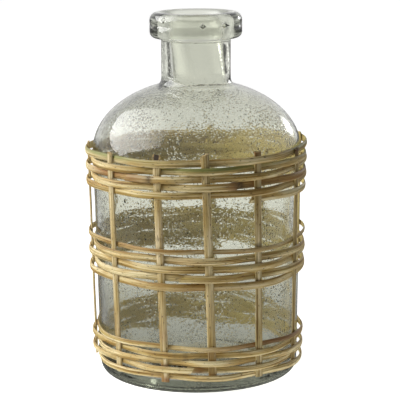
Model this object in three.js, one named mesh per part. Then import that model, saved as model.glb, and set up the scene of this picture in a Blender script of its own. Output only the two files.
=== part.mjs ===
// A hand-blown glass bottle in a sleeve of woven split rattan.
// Millimetres, +Z up, the bottle stands on z = 0 and its front faces -Y.
// Eleven upright stakes stand round the glass. Each of three bands is woven round them by strands
// of rattan that climb to the right, in front of one stake and behind the next.
import * as THREE from "three";

// Glass bottle
const BOTTLE_HEIGHT = 254;
const BODY_RADIUS = 72.9; // where the wall turns into the shoulder
const BODY_TAPER = 3.1; // how much narrower the wall is just above the heel
const SHOULDER_START = 158;
const SHOULDER_RISE = 49; // half height of the ellipse that shapes the shoulder
const NECK_RADIUS = 24;
const NECK_WALL = 4.8;
const NECK_FILLET = 4.6;
const LIP_OVERHANG = 8;
const LIP_HEIGHT = 17.8;
const LIP_TOP_ROUND = 5.4;
const LIP_UNDER_ROUND = 4.3;
const RIM_FLAT = 1.2;
const MOUTH_DEPTH = 7; // how far down the mouth narrows to the bore
const BODY_WALL = 3.2;
const FLOOR_THICKNESS = 8;
const FLOOR_CORNER = 10;
const HEEL_RADIUS = 8;
const FOOT_WIDTH = 12; // flat ring that the bottle stands on
const PUNT_RISE = 4;
const GLASS_SIDES = 44;

// Rattan sleeve
const CLEARANCE = 0.3; // between pieces that touch
const STAKE_WIDTH = 5.6;
const STAKE_THICKNESS = 1.5;
const STAKE_TOP = 165.2;
const STAKE_FOOT = 11;
const STAKE_STEPS = 12;
const WEAVER_THICKNESS = 1.4;
const WEAVER_LAP = 0.9; // a strand stays level this far past a stake's edges
const WEAVER_TAIL = 0.17; // how far an end reaches past its last stake, as a share of the gap between stakes
const SPLICE_LAP = 0.12; // half of the overlap where a new strand takes over, as the same share
const SPLICE_CLEARANCE = 0.5;
const TAPERED_WIDTH = 3.3; // the far end of a strand that thins out
const TOP_BAND_DROP = 19.1; // from the start of the shoulder down to the top band's lowest full turn
const TOP_BAND_PITCH = 5.37;
const TOP_BAND_WIDTH = 5.05;
const TOP_BAND_SLANT = 0.1; // how much lower a band lies at its right side than at the front
const TOP_BAND_LIFT = 2; // how much higher it lies at the back
const MIDDLE_BAND_PITCH = 6.08;
const MIDDLE_BAND_WIDTH = 5.3;
const MIDDLE_BAND_SLANT = 2.1;
const MIDDLE_BAND_LIFT = 3;
const BOTTOM_BAND_RISE = 5.3; // from the heel up to the bottom band's lowest turn
const BOTTOM_BAND_PITCH = 5.07;
const BOTTOM_BAND_WIDTH = 4.4;
const BOTTOM_BAND_SLANT = 2.2;
const BOTTOM_BAND_LIFT = 3;

// The stakes seen from the front: angle at the top, angle at the foot, and how much longer each
// is cut at the top and at the foot. Angles run from the front towards +X, in degrees.
const FRONT_STAKES = [
  { top: -87, foot: -87.5, longer: 0, deeper: -1.5 },
  { top: -51, foot: -48.8, longer: -0.9, deeper: -0.5 },
  { top: -20.8, foot: -18.3, longer: 1.2, deeper: 1.2 },
  { top: 4.1, foot: 7.6, longer: 2.2, deeper: -0.5 },
  { top: 32.4, foot: 34.6, longer: 1.6, deeper: 0.7 },
  { top: 64.5, foot: 64.9, longer: -1.4, deeper: -0.5 },
  { top: 104.5, foot: 105.5, longer: 2.3, deeper: 0.5 },
];
const BACK_STAKES = 4; // spread evenly over the rest
const BACK_TRIM = 1;

// Each side of a strand: where it passes a stake
const BEHIND = -1;
const FRONT = 1;

const TURN = 2 * Math.PI;
const BASE_RADIUS = BODY_RADIUS - BODY_TAPER;
const LIP_RADIUS = NECK_RADIUS + LIP_OVERHANG;
const BORE_RADIUS = NECK_RADIUS - NECK_WALL;
const STAKE_COUNT = FRONT_STAKES.length + BACK_STAKES;
const TOP_BAND = SHOULDER_START - TOP_BAND_DROP;
const BOTTOM_BAND = HEEL_RADIUS + BOTTOM_BAND_RISE;
const MIDDLE_BAND = (TOP_BAND + BOTTOM_BAND) / 2;

const glass = new THREE.MeshStandardMaterial({ color: 0xc9d2c4, roughness: 0.08, metalness: 0 });
const stakeCane = new THREE.MeshStandardMaterial({ color: 0xbd9a5f, roughness: 0.6, metalness: 0 });
const weaverCane = new THREE.MeshStandardMaterial({ color: 0xc9a86a, roughness: 0.55, metalness: 0 });

// Points of an elliptical arc in the plane of radius and height, angles in degrees
function arc(centre, level, across, rise, from, to, steps) {
  const points = [];
  for (let i = 0; i <= steps; i++) {
    const angle = THREE.MathUtils.degToRad(from + ((to - from) * i) / steps);
    points.push(new THREE.Vector2(centre + across * Math.cos(angle), level + rise * Math.sin(angle)));
  }
  return points;
}

// Where an elliptical shoulder reaches a given radius, as an angle in degrees
function shoulderAngle(across, radius) {
  return THREE.MathUtils.radToDeg(Math.acos(radius / across));
}

function corner(from, through, to) {
  return new THREE.QuadraticBezierCurve(from, through, to).getPoints(4);
}

// The glass as one closed profile turned about the axis: under the foot, up the outside,
// over the lip, and down the inside to the floor
function bottleProfile() {
  const point = (radius, height) => new THREE.Vector2(radius, height);
  const footOuter = BASE_RADIUS - HEEL_RADIUS;
  const footInner = footOuter - FOOT_WIDTH;
  const lipUnder = BOTTLE_HEIGHT - LIP_HEIGHT;
  const rimOuter = LIP_RADIUS - LIP_TOP_ROUND;
  const rimInner = rimOuter - RIM_FLAT;
  const innerBody = BODY_RADIUS - BODY_WALL;
  const innerBase = BASE_RADIUS - BODY_WALL;
  const innerRise = SHOULDER_RISE - BODY_WALL;

  const outerStop = shoulderAngle(BODY_RADIUS, NECK_RADIUS + NECK_FILLET);
  const shoulder = arc(0, SHOULDER_START, BODY_RADIUS, SHOULDER_RISE, 0, outerStop, 11);
  const neckFoot = SHOULDER_START + SHOULDER_RISE * Math.sqrt(1 - (NECK_RADIUS / BODY_RADIUS) ** 2);
  const neckFillet = corner(shoulder.at(-1), point(NECK_RADIUS, neckFoot), point(NECK_RADIUS, neckFoot + NECK_FILLET));

  const innerStop = shoulderAngle(innerBody, BORE_RADIUS + NECK_FILLET);
  const innerShoulder = arc(0, SHOULDER_START, innerBody, innerRise, innerStop, 0, 10);
  const boreFoot = SHOULDER_START + innerRise * Math.sqrt(1 - (BORE_RADIUS / innerBody) ** 2);
  const boreCorner = corner(point(BORE_RADIUS, boreFoot + NECK_FILLET), point(BORE_RADIUS, boreFoot), innerShoulder[0]);

  const floorEdge = innerBase - FLOOR_CORNER;
  const floorLevel = FLOOR_THICKNESS + FLOOR_CORNER;
  return [
    ...arc(0, 0, footInner, PUNT_RISE, 90, 0, 4),
    ...arc(footOuter, HEEL_RADIUS, HEEL_RADIUS, HEEL_RADIUS, -90, 0, 5),
    ...shoulder,
    ...neckFillet.slice(1),
    point(NECK_RADIUS, lipUnder),
    ...arc(LIP_RADIUS - LIP_UNDER_ROUND, lipUnder + LIP_UNDER_ROUND, LIP_UNDER_ROUND, LIP_UNDER_ROUND, -90, 0, 4),
    ...arc(rimOuter, BOTTLE_HEIGHT - LIP_TOP_ROUND, LIP_TOP_ROUND, LIP_TOP_ROUND, 0, 90, 4),
    ...arc(rimInner, BOTTLE_HEIGHT - MOUTH_DEPTH, rimInner - BORE_RADIUS, MOUTH_DEPTH, 90, 180, 4),
    ...boreCorner,
    ...innerShoulder.slice(1),
    ...arc(floorEdge, floorLevel, FLOOR_CORNER, FLOOR_CORNER, 0, -90, 4),
    ...arc(0, FLOOR_THICKNESS, footInner, PUNT_RISE, 0, 90, 4),
  ];
}

function bottleGeometry() {
  const profile = bottleProfile();
  profile[0].x = 0;
  profile.at(-1).x = 0;
  return new THREE.LatheGeometry(profile, GLASS_SIDES).rotateX(Math.PI / 2);
}

// Outer radius of the glass at a height, as the sleeve follows it
function wallRadius(height) {
  if (height > SHOULDER_START) {
    const share = Math.min(1, (height - SHOULDER_START) / SHOULDER_RISE);
    return BODY_RADIUS * Math.sqrt(1 - share * share);
  }
  const share = (height - HEEL_RADIUS) / (SHOULDER_START - HEEL_RADIUS);
  return BASE_RADIUS + BODY_TAPER * Math.max(0, share);
}

// A closed solid through a row of rings with the same number of points
function loft(rings) {
  const sides = rings[0].length;
  const positions = rings.flat().flatMap((p) => [p.x, p.y, p.z]);
  const faces = [];
  for (let i = 0; i + 1 < rings.length; i++) {
    for (let j = 0; j < sides; j++) {
      const a = i * sides + j;
      const b = i * sides + ((j + 1) % sides);
      faces.push(a, b, b + sides, a, b + sides, a + sides);
    }
  }
  const last = (rings.length - 1) * sides;
  for (let j = 1; j + 1 < sides; j++) {
    faces.push(0, j + 1, j);
    faces.push(last, last + j, last + j + 1);
  }
  const geometry = new THREE.BufferGeometry();
  geometry.setAttribute("position", new THREE.Float32BufferAttribute(positions, 3));
  geometry.setIndex(faces);
  geometry.computeVertexNormals();
  return geometry;
}

// Split cane in section: flat towards the glass, rounded outwards. Shares of thickness and width.
const CANE_SECTION = [
  [-0.5, 0.4],
  [-0.5, -0.4],
  [0, -0.5],
  [0.5, -0.2],
  [0.5, 0.2],
  [0, 0.5],
];

function caneRing(centre, outward, across, thickness, width) {
  return CANE_SECTION.map(([u, v]) =>
    centre
      .clone()
      .addScaledVector(outward, u * thickness)
      .addScaledVector(across, v * width),
  );
}

function onCircle(angle, radius, height) {
  return new THREE.Vector3(radius * Math.sin(angle), -radius * Math.cos(angle), height);
}

function stakeList() {
  const first = FRONT_STAKES[0];
  const last = FRONT_STAKES.at(-1);
  const spread = (from, to, i) => to + ((from + 360 - to) * i) / (BACK_STAKES + 1);
  const back = Array.from({ length: BACK_STAKES }, (_, i) => ({
    top: spread(first.top, last.top, i + 1),
    foot: spread(first.foot, last.foot, i + 1),
    longer: i % 2 ? BACK_TRIM : -BACK_TRIM,
    deeper: i % 2 ? -BACK_TRIM : BACK_TRIM,
  }));
  return [...FRONT_STAKES, ...back];
}

const stakes = stakeList();

// Angle of a stake at a height. Numbers past the last stake go round again, a turn further on.
function stakeAngle(number, height) {
  const turns = Math.floor(number / STAKE_COUNT);
  const stake = stakes[number - turns * STAKE_COUNT];
  const share = (height - STAKE_FOOT) / (STAKE_TOP - STAKE_FOOT);
  return THREE.MathUtils.degToRad(stake.foot + (stake.top - stake.foot) * share) + turns * TURN;
}

// A stake stands off the glass by the strand that passes behind it. It is stiff, so where the
// shoulder turns in it follows the glass a strand's width late.
function stakeInner(height) {
  const wall = Math.max(wallRadius(height), wallRadius(height - TOP_BAND_WIDTH));
  return wall + WEAVER_THICKNESS + 2 * CLEARANCE;
}

function stakeOuter(height) {
  return stakeInner(height) + STAKE_THICKNESS;
}

function stakeGeometry(number) {
  const { longer, deeper } = stakes[number];
  const foot = STAKE_FOOT - deeper;
  const rise = STAKE_TOP + longer - foot;
  const at = (height) => onCircle(stakeAngle(number, height), stakeInner(height) + STAKE_THICKNESS / 2, height);
  const rings = [];
  for (let i = 0; i <= STAKE_STEPS; i++) {
    const height = foot + (rise * i) / STAKE_STEPS;
    const angle = stakeAngle(number, height);
    const along = at(height + 0.5).sub(at(height - 0.5)).normalize();
    const across = new THREE.Vector3(Math.cos(angle), Math.sin(angle), 0);
    across.addScaledVector(along, -across.dot(along)).normalize();
    const outward = new THREE.Vector3().crossVectors(across, along);
    rings.push(caneRing(at(height), outward, across, STAKE_THICKNESS, STAKE_WIDTH));
  }
  return loft(rings);
}

// A strand's place is counted in stakes from the front left one, so 12.5 is half way from the
// second stake to the third, one turn up.
class Strand {
  constructor({ level, pitch, width, slant, lift, start, end, behind, spliceStart, spliceEnd, tapers }) {
    Object.assign(this, { level, pitch, width, slant, lift, behind, spliceStart, spliceEnd, tapers });
    this.start = spliceStart ? start + 0.5 - SPLICE_LAP : start - WEAVER_TAIL;
    this.end = spliceEnd ? end + 0.5 + SPLICE_LAP : end + WEAVER_TAIL;
  }

  // A strand climbs to its next turn, in a band that hangs a little askew
  heightAt(angle) {
    const toBack = (1 - Math.cos(angle)) / 2;
    const climb = (this.pitch * angle) / TURN;
    return this.level + climb - this.slant * Math.sin(angle) + this.lift * toBack * toBack;
  }

  crossingAngle(number) {
    const rough = this.heightAt(stakeAngle(number, this.level));
    return stakeAngle(number, rough);
  }

  sideAt(number) {
    return (number - this.behind) % 2 === 0 ? BEHIND : FRONT;
  }

  // The share of the gap between two stakes over which the strand stays level past a stake
  levelShare(number) {
    const gap = this.crossingAngle(number + 1) - this.crossingAngle(number);
    return (STAKE_WIDTH / 2 + WEAVER_LAP) / (wallRadius(this.level) * gap);
  }

  angleAt(place) {
    const number = Math.floor(place);
    const from = this.crossingAngle(number);
    return from + (this.crossingAngle(number + 1) - from) * (place - number);
  }

  radiusFor(side, height) {
    const lowEdge = height - this.width / 2;
    const backing =
      side === BEHIND
        ? Math.max(wallRadius(height), wallRadius(lowEdge))
        : Math.max(stakeOuter(height), stakeOuter(lowEdge));
    return backing + CLEARANCE + WEAVER_THICKNESS / 2;
  }

  // At a splice, old and new strand lie one on the other instead of changing sides
  splicedRadius(side, height) {
    const middle = (this.radiusFor(BEHIND, height) + this.radiusFor(FRONT, height)) / 2;
    return middle + (side * (WEAVER_THICKNESS + SPLICE_CLEARANCE)) / 2;
  }

  radiusAt(place) {
    const number = Math.floor(place);
    const height = this.heightAt(this.angleAt(place));
    const flat = this.levelShare(number);
    const share = THREE.MathUtils.clamp((place - number - flat) / (1 - 2 * flat), 0, 1);
    const ease = (1 - Math.cos(Math.PI * share)) / 2;
    const inLastGap = this.spliceEnd && number === Math.floor(this.end);
    const inFirstGap = this.spliceStart && number === Math.floor(this.start);
    const here = inFirstGap
      ? this.splicedRadius(this.sideAt(number + 1), height)
      : this.radiusFor(this.sideAt(number), height);
    const there = inLastGap
      ? this.splicedRadius(this.sideAt(number), height)
      : this.radiusFor(this.sideAt(number + 1), height);
    return here + (there - here) * ease;
  }

  widthAt(place) {
    if (!this.tapers) return this.width;
    const left = (this.end - place) / STAKE_COUNT;
    return THREE.MathUtils.lerp(TAPERED_WIDTH, this.width, THREE.MathUtils.smoothstep(left, 0.3, 1.2));
  }

  // Flat over each stake, with two steps on the way to the other side
  places() {
    const list = [this.start];
    for (let number = Math.floor(this.start); number <= this.end; number++) {
      const flat = this.levelShare(number);
      for (const share of [0, 1 / 3, 2 / 3, 1]) list.push(number + flat + (1 - 2 * flat) * share);
    }
    const inside = list.filter((place) => place > this.start + 0.06 && place < this.end - 0.06);
    return [this.start, ...inside, this.end];
  }

  pointAt(place) {
    const angle = this.angleAt(place);
    const sag = 1 / Math.cos((STAKE_WIDTH / 2 + WEAVER_LAP) / wallRadius(this.level));
    return onCircle(angle, this.radiusAt(place) * sag, this.heightAt(angle));
  }

  rings() {
    const places = this.places();
    const points = places.map((place) => this.pointAt(place));
    return points.map((centre, i) => {
      const before = points[Math.max(0, i - 1)];
      const after = points[Math.min(points.length - 1, i + 1)];
      const along = after.clone().sub(before).normalize();
      const outward = new THREE.Vector3(along.y, -along.x, 0).normalize();
      const across = new THREE.Vector3().crossVectors(outward, along);
      return caneRing(centre, outward, across.negate(), WEAVER_THICKNESS, this.widthAt(places[i]));
    });
  }
}

// The least distance between points of a strand that are at least half a turn apart
function leastSelfGap(rings) {
  const apart = STAKE_COUNT * 2;
  let least = Infinity;
  rings.forEach((ring, i) =>
    rings.slice(i + apart).forEach((other) => {
      if (ring[0].distanceTo(other[0]) > 4 * TOP_BAND_PITCH) return;
      for (const p of ring) {
        for (const q of other) least = Math.min(least, p.distanceTo(q));
      }
    }),
  );
  return least;
}

const topBand = {
  level: TOP_BAND - TOP_BAND_PITCH,
  pitch: TOP_BAND_PITCH,
  width: TOP_BAND_WIDTH,
  slant: TOP_BAND_SLANT,
  lift: TOP_BAND_LIFT,
  behind: 4,
};
const middleBand = {
  level: MIDDLE_BAND,
  pitch: MIDDLE_BAND_PITCH,
  width: MIDDLE_BAND_WIDTH,
  slant: MIDDLE_BAND_SLANT,
  lift: MIDDLE_BAND_LIFT,
  behind: 1,
};
const bottomBand = {
  level: BOTTOM_BAND,
  pitch: BOTTOM_BAND_PITCH,
  width: BOTTOM_BAND_WIDTH,
  slant: BOTTOM_BAND_SLANT,
  lift: BOTTOM_BAND_LIFT,
  behind: 2,
};

const strands = {
  top_weaver_lower: new Strand({ ...topBand, start: 4, end: 25, spliceEnd: true }),
  top_weaver_middle: new Strand({ ...topBand, start: 25, end: 34, spliceStart: true, spliceEnd: true }),
  top_weaver_upper: new Strand({ ...topBand, start: 34, end: 62, spliceStart: true }),
  middle_weaver_lower: new Strand({ ...middleBand, start: -3, end: 13, spliceEnd: true }),
  middle_weaver_upper: new Strand({ ...middleBand, start: 13, end: 51, spliceStart: true, tapers: true }),
  bottom_weaver_lower: new Strand({ ...bottomBand, start: -2, end: 13, spliceEnd: true }),
  bottom_weaver_upper: new Strand({ ...bottomBand, start: 13, end: 52, spliceStart: true, tapers: true }),
};

function piece(name, geometry, material) {
  const mesh = new THREE.Mesh(geometry, material);
  mesh.name = name;
  return mesh;
}

const bottle = new THREE.Group();
bottle.name = "rattan_wrapped_bottle";
bottle.add(piece("glass_bottle", bottleGeometry(), glass));

stakes.forEach((_, i) => {
  const name = "stake_" + String(i + 1).padStart(2, "0");
  bottle.add(piece(name, stakeGeometry(i), stakeCane));
});

for (const [name, strand] of Object.entries(strands)) {
  const rings = strand.rings();
  const gap = leastSelfGap(rings);
  if (Number.isFinite(gap)) console.log(name + ": least gap to itself " + gap.toFixed(2) + " mm");
  bottle.add(piece(name, loft(rings), weaverCane));
}

export default bottle;
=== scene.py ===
"""A hand-blown bottle of seeded glass in a sleeve of woven split rattan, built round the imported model.

Metres, +Z up, the front faces -Y. Angles run from the front towards +X.
"""

import math

import bpy
import numpy as np
from bpy.props import FloatProperty, FloatVectorProperty, PointerProperty
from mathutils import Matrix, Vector, noise


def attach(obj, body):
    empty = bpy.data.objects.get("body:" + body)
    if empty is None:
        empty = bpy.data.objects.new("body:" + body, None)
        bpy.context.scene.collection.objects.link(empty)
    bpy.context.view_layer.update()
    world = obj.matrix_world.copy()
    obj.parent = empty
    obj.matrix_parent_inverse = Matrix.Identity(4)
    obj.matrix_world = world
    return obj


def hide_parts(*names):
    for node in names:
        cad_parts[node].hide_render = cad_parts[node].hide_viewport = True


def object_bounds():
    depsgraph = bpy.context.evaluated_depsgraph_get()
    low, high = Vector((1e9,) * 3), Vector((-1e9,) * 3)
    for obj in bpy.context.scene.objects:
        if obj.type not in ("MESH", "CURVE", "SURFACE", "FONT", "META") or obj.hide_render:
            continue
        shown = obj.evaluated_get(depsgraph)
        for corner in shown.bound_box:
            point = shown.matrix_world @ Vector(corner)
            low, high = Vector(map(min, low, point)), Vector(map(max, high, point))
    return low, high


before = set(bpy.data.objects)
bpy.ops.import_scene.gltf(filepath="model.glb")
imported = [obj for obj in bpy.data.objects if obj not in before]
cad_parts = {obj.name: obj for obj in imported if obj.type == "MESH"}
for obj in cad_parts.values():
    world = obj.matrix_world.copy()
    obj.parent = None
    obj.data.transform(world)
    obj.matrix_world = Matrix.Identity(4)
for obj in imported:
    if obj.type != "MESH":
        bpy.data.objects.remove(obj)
CAD_LOW, CAD_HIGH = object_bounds()

bl_info = {
    "name": "Rattan wrapped bottle",
    "version": (1, 0, 0),
    "blender": (4, 5, 0),
    "location": "View3D > Sidebar > Bottle",
    "description": "Builds a seeded glass bottle, its woven rattan sleeve and a plain stage",
    "category": "Object",
}

MM = 0.001
TURN = 2 * math.pi
WHITE = (1.0, 1.0, 1.0, 1.0)

# Stage, in metres
FLOOR_HALF = 6.0
FLOOR_GAP = 0.0002
CAMERA_PLACE = (0.0019, -1.2, 0.355)
CAMERA_TARGET = (0.0019, 0.0, 0.1216)
CAMERA_ROLL = -0.0089
CAMERA_LENS = 156.3
CAMERA_SENSOR = 36.0
CAMERA_REACH = (0.05, 50.0)
LAMP_TARGET = (0.0, 0.0, 0.16)

# Lamps: size, place, the rays they light, degrees turned about their aim, and a fade from a bright spot
LAMPS = {
    "softbox": ((1.54, 1.54), (-0.91, 0.05, 0.93), ("glossy",), 45.0, ((0.0, 0.0), 0.5, 1.35)),
    "key": ((0.45, 0.45), (-1.2, -0.33, 0.7), ("diffuse",), 0.0, None),
    "window": ((0.42, 0.38), (0.75, 0.90, 0.42), ("glossy", "diffuse"), 0.0, ((0.5, 0.5), 0.05, 0.5)),
    "strip": ((0.05, 0.5), (0.39, 1.13, 0.1), ("transmission",), 0.0, None),
}

# Brightness of the paper through the glass, painted light and shade: by metres from the bottle, a painted
# shadow near it, and by how far a place lies to the side or to the back of it, as a share of that distance,
# painted light and dark bands and a painted shadow in front. These count far from the bottle or near it
PAPER_SHADOW_BY_DISTANCE = [(0.06, 0.45), (0.2, 0.55), (0.42, 0.94), (0.8, 1.0)]
PAPER_BANDS_TO_SIDE = [
    (-0.84, 0.8), (-0.74, 0.08), (-0.6, 0.08), (-0.46, 0.9), (-0.36, 1.06), (-0.24, 1.06), (-0.1, 0.78),
    (0.04, 0.78), (0.16, 0.9), (0.34, 0.94), (0.4, 0.9), (0.54, 0.08), (0.72, 0.08), (0.82, 0.8),
]
PAPER_SHADOW_TO_BACK = [(-0.2, 0.3), (0.2, 1.0)]
FAR_PAPER = (0.6, 1.2)
NEAR_PAPER = (0.1, 0.3)

# The paper glows in a painted pool of light round the bottle that lights the cane, and at a share of that
# further off
POOL = (0.1, 0.4)
POOL_FAR = 0.15

# Brightness of the studio: from low in front to high at the back, and through the glass by how far a
# direction lies to the side, plus its rise times the drop
SKY_FADE = ((-0.4, 0.10), (0.5, 0.85))
SKY_TO_SIDE = [
    (-2.0, 0.5), (-0.9, 0.62), (-0.3, 0.7), (0.05, 0.72), (0.2, 0.84), (0.4, 0.88),
    (0.54, 0.08), (0.72, 0.08), (0.82, 0.78),
]
SKY_RANGE = (-3.0, 1.0)
SKY_DROP = -3.0
SKY_IN_VIEW = 1.1

# Glass, in millimetres
BODY_RADIUS = 72.9
BASE_RADIUS = 69.8
SHOULDER_START = 158.0
SHOULDER_RISE = 49.0
NECK_RADIUS = 24.0
NECK_WALL = 4.8
NECK_SPAN = (205.0, 240.0)
NECK_FILLET = 4.6
BORE_LEAN = 1.6
BORE_NARROWS = (0.7, 1.6)
BORE_FILLET = 10.0
LEAN_SPAN = (185.0, 207.0)
LIP_RADIUS = 32.0
LIP_HEIGHT = 17.8
LIP_TOP_ROUND = 5.4
LIP_UNDER_ROUND = 4.3
LIP_COVE = 2.2
RIM_FLAT = 1.2
MOUTH_DEPTH = 7.0
FOLD_RISE = 9.6
FOLD_HALF = 0.7
FOLD_DEPTH = 0.35
FLOOR_THICKNESS = 8.0
FLOOR_CORNER = 10.0
FLOOR_RING = 38.0
KICK_RISE = 6.0
KICK_SHARE = 0.8
HEEL_RADIUS = 8.0
HEEL_WALL = 6.0
FOOT_WIDTH = 12.0
PUNT_RISE = 4.0
GLASS_SIDES = 128
FLAT_SIDE = 1.9
FLAT_START = (70.0, 95.0)
FLAT_END = (125.0, 150.0)
FLAT_POWER = 8

# Unevenness of the blown wall: depth and length of its drift, depth of its ripple. It settles at the foot
BLOWN_INSIDE = (0.40, 31.0, 0.13)
BLOWN_OUTSIDE = (0.22, 43.0, 0.05)
RIPPLE_LENGTH = 10.5
SETTLED = 6.0

# Fine waves of the surface, as shares of their depth, and its haze
INNER_WAVES = 1.0
OUTER_WAVES = 0.35
BORE_WAVES = 0.3
LIP_WAVES = 0.12
MOUTH_WAVES = 0.05
SWIRL = Vector((10.9, -40.7, 198.0))
SWIRL_SPAN = (3.0, 9.0)
SWIRL_WAVES = 2.2
RIPPLE_SHARE = 0.2
HAZE = 0.3
HAZE_SPAN = (233.0, 237.0)
LEAST_HAZE = 0.02

# Seeds, and the dimples of those too small to model, in millimetres
CLOUD_SIZE = 22.0
LEAST_COVER = 0.65
THICK_COVER = 3.0
DIMPLE_PITCH = 1.7
DIMPLE_REACH = 0.44

# Leaves of air trapped in the fold of the lip: angle and span in degrees, height above the fold
AIR_LEAVES = [(9.5, 9.0, 0.5), (42.0, 15.0, 0.6), (-47.0, 7.0, 4.0), (78.0, 8.0, 3.5), (-76.0, 12.0, -1.5)]
AIR_RADIUS = 28.6
AIR_DEPTH = 1.5
AIR_HEIGHT = 1.6
AIR_STEPS = 10
AIR_SIDES = 8

# Sleeve, in millimetres
CLEARANCE = 0.3
STAKE_TOP = 165.2
STAKE_FOOT = 11.0
WEAVER_LAP = 0.9
WEAVER_TAIL = 0.17
WEAVER_START_SLANT = -3.0
WEAVER_END_SLANT = 2.5
SPLICE_LAP = 0.12
SPLICE_CLEARANCE = 0.5
TAPERED_WIDTH = 3.3
TAPER_TURNS = (0.3, 1.2)
TOP_BAND_WIDTH = 5.05
STAKE_STEPS = 96
WEAVER_STEPS = 14
SECTION_POINTS = 16
BEHIND = -1
FRONT = 1

# Bands: level at the front, pitch, width, slant, lift at the back, and a stake it passes behind
BANDS = {
    "top": (138.9 - 5.37, 5.37, TOP_BAND_WIDTH, 0.1, 2.0, 4),
    "middle": (76.1, 6.08, 5.3, 2.1, 3.0, 1),
    "bottom": (13.3, 5.07, 4.4, 2.2, 3.0, 2),
}

# Stakes: angle at the top and foot in degrees, how much longer at top and foot, slant and bevel of the top
STAKES = [
    (-87.0, -87.5, 0.0, -1.5, 0.5, 0.6),
    (-51.0, -48.8, -0.9, -0.5, 0.6, 0.8),
    (-20.8, -18.3, 1.2, 1.2, 1.0, 4.4),
    (4.1, 7.6, 2.2, -0.5, -2.0, 0.5),
    (32.4, 34.6, 1.6, 0.7, 0.4, 0.9),
    (64.5, 64.9, -1.4, -0.5, -0.8, 0.8),
    (104.5, 105.5, 2.3, 0.5, 0.6, 0.8),
]
BACK_STAKES = 4
BACK_TRIM = 1.0
BACK_SPREAD = 0.12
BACK_SPAN = (0.0, 0.5)

# Wander of real cane: the first of its lanes of noise, how far it goes, and over what length
WEAVER_WANDER = (0, 0.28, 33.0)
WEAVER_ROLL = (20, 0.10, 24.0)
WEAVER_SWELL = (40, 0.05, 21.0)
STAKE_WANDER = (60, 0.004, 40.0)
STAKE_ROLL = (80, 0.12, 50.0)
STAKE_SWELL = (100, 0.05, 19.0)

# Where the pattern of the grain starts, in metres: on the first piece, and further on with each next one
WEAVER_GRAIN = (0.0, 3.0)
STAKE_GRAIN = (40.0, 2.0)

# Fine detail of the cane, in millimetres
FIBRE_HEIGHT = 0.16
PORE_PITCH = 0.7
WELD = 0.01

# Tones of the cane, pale and warm, and its marks: place or height of the middle, half length, strength
WEAVER_TONES = ("#e8daac", "#c9ac6a")
STAKE_TONES = ("#dccda4", "#bba66e")
MARK_KINDS = ("green", "brown", "dark")
MARK_GAIN = 1.9
WEAVER_MARKS = {
    "top_weaver_upper": {
        "green": [(55.9, 0.9, 0.75), (47.1, 1.1, 0.9), (60.2, 0.5, 0.6), (49.6, 0.5, 0.5)],
        "brown": [(34.55, 0.35, 0.7)],
        "dark": [(34.86, 0.045, 0.9)],
    },
    "top_weaver_middle": {
        "brown": [(26.0, 0.4, 0.55), (26.9, 0.5, 0.6), (33.9, 0.5, 0.75)],
        "dark": [(25.52, 0.05, 0.9), (25.66, 0.06, 0.7), (27.45, 0.16, 1.0)],
    },
    "top_weaver_lower": {"brown": [(25.5, 0.16, 0.8)], "dark": [(25.6, 0.06, 0.9)]},
    "middle_weaver_upper": {
        "brown": [(46.5, 2.5, 0.35), (35.4, 0.4, 0.3)],
        "dark": [(23.69, 0.012, 0.8), (41.2, 0.014, 0.7)],
    },
    "middle_weaver_lower": {"brown": [(2.9, 1.2, 0.3)], "dark": [(8.4, 0.014, 0.7)]},
    "bottom_weaver_upper": {
        "brown": [(48.4, 1.4, 0.9), (13.72, 0.14, 0.8)],
        "dark": [(35.25, 0.012, 0.5), (35.36, 0.012, 0.5), (35.46, 0.012, 0.5), (48.6, 0.5, 0.3)],
    },
    "bottom_weaver_lower": {"brown": [(1.9, 0.3, 0.3)], "dark": [(6.3, 0.014, 0.7)]},
}
STAKE_MARKS = {
    1: {"brown": [(40.0, 12.0, 0.2)]},
    2: {
        "brown": [(11.0, 3.0, 0.9), (21.0, 1.8, 0.8), (42.0, 6.0, 0.35), (110.0, 20.0, 0.2)],
        "dark": [(20.6, 0.8, 0.9), (29.5, 1.6, 0.5), (109.0, 1.0, 0.4), (166.2, 2.5, 1.0)],
    },
    3: {"brown": [(15.0, 2.0, 0.6), (27.0, 5.0, 0.3)]},
    4: {"brown": [(166.8, 3.0, 1.0)], "dark": [(102.5, 1.2, 0.6)]},
    5: {"brown": [(163.5, 4.5, 1.0)], "dark": [(163.5, 3.0, 0.7)]},
    8: {"dark": [(88.0, 1.2, 0.5)]},
}


def linear(colour):
    """An sRGB hex colour as linear red, green, blue and alpha."""
    parts = [int(colour[i : i + 2], 16) / 255 for i in (1, 3, 5)]
    return tuple(c / 12.92 if c <= 0.04045 else ((c + 0.055) / 1.055) ** 2.4 for c in parts) + (1.0,)


def add_node(tree, kind, inputs=None, **settings):
    """Adds a node with its settings. An input is a value, a socket, or a node for its first socket."""
    node = tree.nodes.new(kind)
    for name, value in settings.items():
        setattr(node, name, value)
    for name, value in (inputs or {}).items():
        if isinstance(value, bpy.types.Node):
            value = value.outputs[0]
        if isinstance(value, bpy.types.NodeSocket):
            tree.links.new(value, node.inputs[name])
        else:
            node.inputs[name].default_value = value
    return node


def new_material(name):
    material = bpy.data.materials.new(name)
    material.use_nodes = True
    material.node_tree.nodes.clear()
    return material, material.node_tree


def set_stops(ramp, stops):
    """Gives a ramp node stops, each a position and a linear colour, in place of its own two."""
    elements = ramp.color_ramp.elements
    for position, colour in stops:
        elements.new(position).color = colour
    for end in (0, -1):
        elements.remove(elements[end])


def greys(stops, low, high, share=1.0):
    """Stops for a ramp that runs from a low to a high value, with a share of their brightness."""
    return [((value - low) / (high - low), (shade * share,) * 3 + (1.0,)) for value, shade in stops]


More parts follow.
